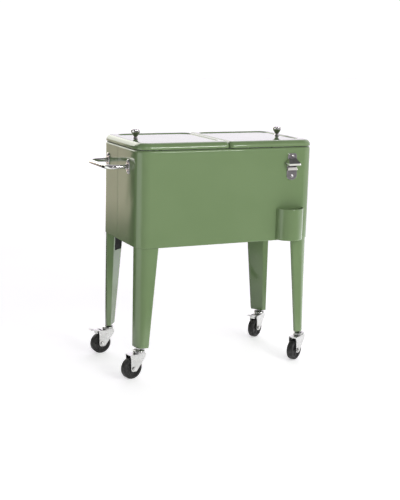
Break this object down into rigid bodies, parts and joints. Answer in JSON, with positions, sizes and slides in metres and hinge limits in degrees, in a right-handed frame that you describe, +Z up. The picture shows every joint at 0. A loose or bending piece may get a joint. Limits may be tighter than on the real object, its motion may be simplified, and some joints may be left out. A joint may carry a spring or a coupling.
{
  "type": "rolling patio cooler cart",
  "caption": "Insulated green steel chest with a split lift-up lid on tapered legs with swivel casters, push handle, bottle opener and cap bin.",
  "frame": {"origin": "on the floor under the middle of the whole outline, handle and cap bin included", "axes": "+X along the front from the handle end to the plain end, +Y from the front (opener side) to the back, +Z up"},
  "size_m": [0.7522, 0.4009, 0.8308],
  "materials": {
    "green_paint": "gloss",
    "chrome": "polished",
    "zinc_plate": "satin",
    "galvanised_steel": "satin",
    "black_plastic": "satin",
    "wheel_rubber": "matte",
    "rubber": "matte",
    "foam": "matte",
    "white_plastic": "satin"
  },
  "bodies": {
    "cabinet": {"outer_shell": "green_paint", "base_pan": "green_paint", "insulation_tub": "foam", "inner_liner": "galvanised_steel", "center_beam": "galvanised_steel", "drain_spout": "black_plastic", "hinge_bracket_left": "galvanised_steel", "hinge_bracket_right": "galvanised_steel", "cap_catcher": "green_paint", "bottle_opener": "chrome", "opener_screw_top": "chrome", "opener_screw_bottom": "chrome", "handle_bar": "chrome", "handle_bracket_front": "chrome", "handle_bracket_rear": "chrome", "handle_screw_front_upper": "chrome", "handle_screw_front_lower": "chrome", "handle_screw_rear_upper": "chrome", "handle_screw_rear_lower": "chrome", "leg_front_left": "green_paint", "leg_socket_front_left": "black_plastic", "caster_mount_front_left": "zinc_plate", "leg_front_right": "green_paint", "leg_socket_front_right": "black_plastic", "caster_mount_front_right": "zinc_plate", "leg_rear_left": "green_paint", "leg_socket_rear_left": "black_plastic", "caster_mount_rear_left": "zinc_plate", "leg_rear_right": "green_paint", "leg_socket_rear_right": "black_plastic", "caster_mount_rear_right": "zinc_plate"},
    "lid_left": {"lid_left_skin": "green_paint", "lid_left_foam": "foam", "lid_left_liner": "white_plastic", "lid_left_gasket": "rubber", "lid_left_knob": "chrome", "hinge_leaf_left": "galvanised_steel", "hinge_pin_left": "galvanised_steel"},
    "lid_right": {"lid_right_skin": "green_paint", "lid_right_foam": "foam", "lid_right_liner": "white_plastic", "lid_right_gasket": "rubber", "lid_right_knob": "chrome", "hinge_leaf_right": "galvanised_steel", "hinge_pin_right": "galvanised_steel"},
    "caster_front_left": {"fork_front_left": "zinc_plate", "axle_front_left": "zinc_plate"},
    "wheel_front_left": {"wheel_front_left": "wheel_rubber"},
    "caster_front_right": {"fork_front_right": "zinc_plate", "axle_front_right": "zinc_plate"},
    "wheel_front_right": {"wheel_front_right": "wheel_rubber"},
    "caster_rear_left": {"fork_rear_left": "zinc_plate", "axle_rear_left": "zinc_plate"},
    "wheel_rear_left": {"wheel_rear_left": "wheel_rubber"},
    "brake_rear_left": {"brake_lever_rear_left": "zinc_plate"},
    "caster_rear_right": {"fork_rear_right": "zinc_plate", "axle_rear_right": "zinc_plate"},
    "wheel_rear_right": {"wheel_rear_right": "wheel_rubber"},
    "brake_rear_right": {"brake_lever_rear_right": "zinc_plate"},
    "drain_cap": {"drain_cap": "black_plastic"}
  },
  "joints": [
    {"name": "lid_left_hinge", "type": "hinge", "parent": "cabinet", "child": "lid_left", "pos_m": [0.0335, 0.02315, 0.793], "axis": [0, 1, 0], "range_deg": [0, 80]},
    {"name": "lid_right_hinge", "type": "hinge", "parent": "cabinet", "child": "lid_right", "pos_m": [0.0495, 0.02315, 0.793], "axis": [0, -1, 0], "range_deg": [0, 80]},
    {"name": "swivel_front_left", "type": "hinge", "parent": "cabinet", "child": "caster_front_left", "pos_m": [-0.2723, -0.13055, 0.09], "axis": [0, 0, 1], "continuous": true},
    {"name": "spin_front_left", "type": "hinge", "parent": "caster_front_left", "child": "wheel_front_left", "pos_m": [-0.30153, -0.1373, 0.0375], "axis": [0.225, -0.9744, 0], "continuous": true},
    {"name": "swivel_front_right", "type": "hinge", "parent": "cabinet", "child": "caster_front_right", "pos_m": [0.3553, -0.13055, 0.09], "axis": [0, 0, 1], "continuous": true},
    {"name": "spin_front_right", "type": "hinge", "parent": "caster_front_right", "child": "wheel_front_right", "pos_m": [0.32932, -0.14555, 0.0375], "axis": [0.5, -0.866, 0], "continuous": true},
    {"name": "swivel_rear_left", "type": "hinge", "parent": "cabinet", "child": "caster_rear_left", "pos_m": [-0.2723, 0.17685, 0.09], "axis": [0, 0, 1], "continuous": true},
    {"name": "spin_rear_left", "type": "hinge", "parent": "caster_rear_left", "child": "wheel_rear_left", "pos_m": [-0.30208, 0.17319, 0.0375], "axis": [0.1219, -0.9925, 0], "continuous": true},
    {"name": "brake_rear_left_press", "type": "hinge", "parent": "caster_rear_left", "child": "brake_rear_left", "pos_m": [-0.31002, 0.17222, 0.0796], "axis": [0.1219, -0.9925, 0], "range_deg": [0, 9]},
    {"name": "swivel_rear_right", "type": "hinge", "parent": "cabinet", "child": "caster_rear_right", "pos_m": [0.3553, 0.17685, 0.09], "axis": [0, 0, 1], "continuous": true},
    {"name": "spin_rear_right", "type": "hinge", "parent": "caster_rear_right", "child": "wheel_rear_right", "pos_m": [0.32986, 0.16095, 0.0375], "axis": [0.5299, -0.848, 0], "continuous": true},
    {"name": "brake_rear_right_press", "type": "hinge", "parent": "caster_rear_right", "child": "brake_rear_right", "pos_m": [0.32307, 0.15671, 0.0796], "axis": [0.5299, -0.848, 0], "range_deg": [0, 9]},
    {"name": "drain_cap_pull", "type": "slide", "parent": "cabinet", "child": "drain_cap", "axis": [0, 0, -1], "range_m": [0, 0.03]}
  ]
}
